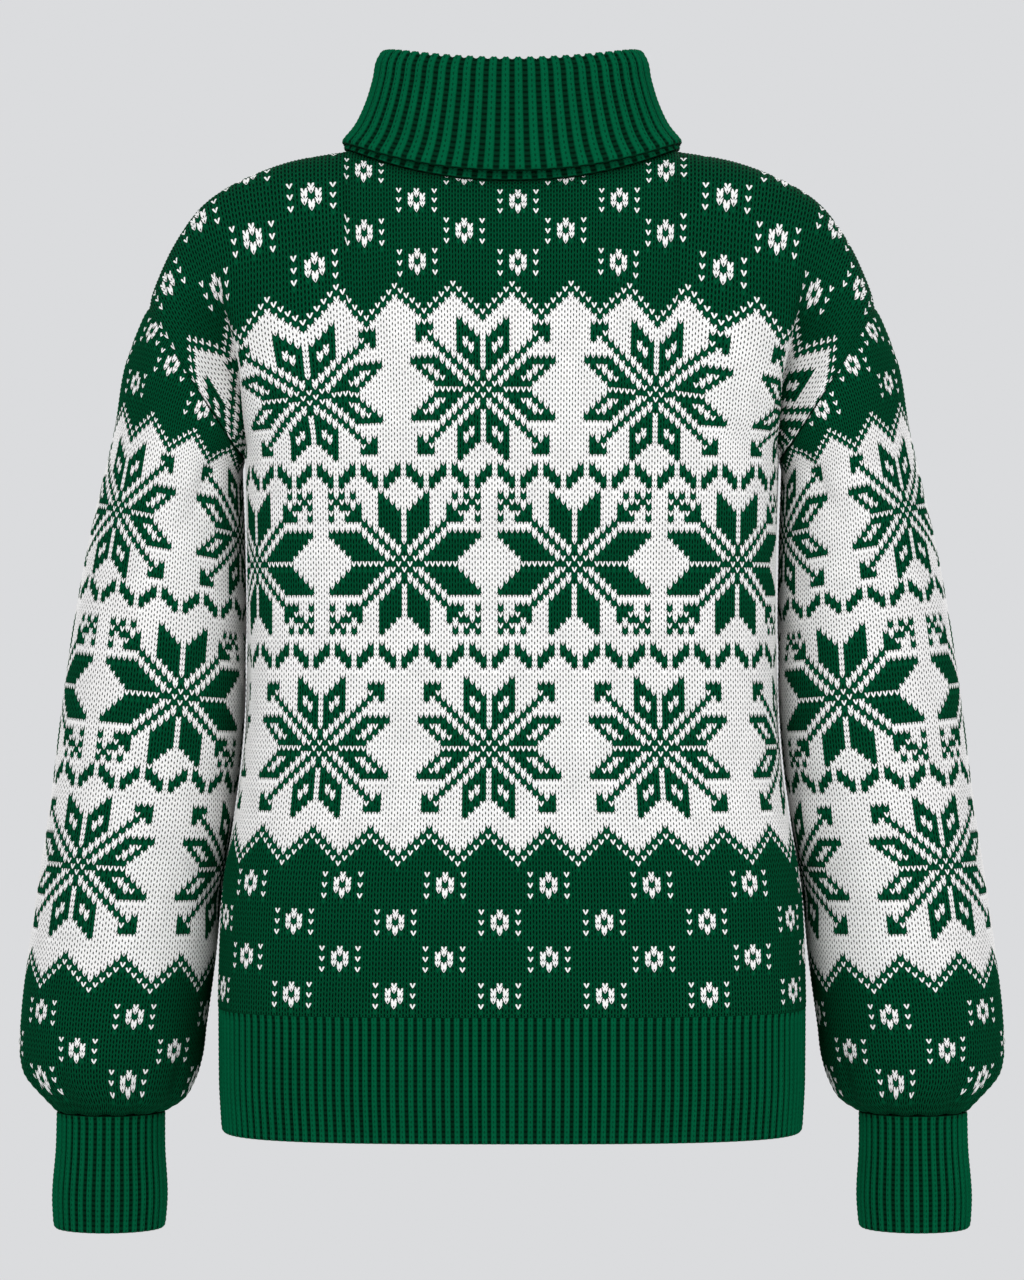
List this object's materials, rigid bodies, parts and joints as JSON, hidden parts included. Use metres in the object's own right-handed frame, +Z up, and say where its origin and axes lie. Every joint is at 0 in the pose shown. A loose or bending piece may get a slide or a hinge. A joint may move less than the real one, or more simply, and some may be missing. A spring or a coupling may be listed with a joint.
{
  "type": "christmas sweater",
  "caption": "Hollow knitted pullover in green and white with snowflake bands, a folded rib collar, drop shoulders and balloon sleeves with rib cuffs.",
  "frame": {"origin": "middle of the neck at the height of the shoulder seams' neck ends, where the wearer's shoulders hold the garment up", "axes": "+Z up, -Y towards the viewer, who sees the wearer's back, +X to the viewer's right"},
  "size_m": [0.6356, 0.203, 0.76],
  "materials": {
    "patterned_knit": "two-colour wool jersey, matt",
    "green_rib": "green wool rib, matt"
  },
  "bodies": {
    "root": {"back_panel": "patterned_knit", "front_panel": "patterned_knit", "sleeve_left": "patterned_knit", "sleeve_right": "patterned_knit", "hem_rib_back": "green_rib", "hem_rib_front": "green_rib", "cuff_left": "green_rib", "cuff_right": "green_rib", "collar": "green_rib"}
  },
  "joints": []
}
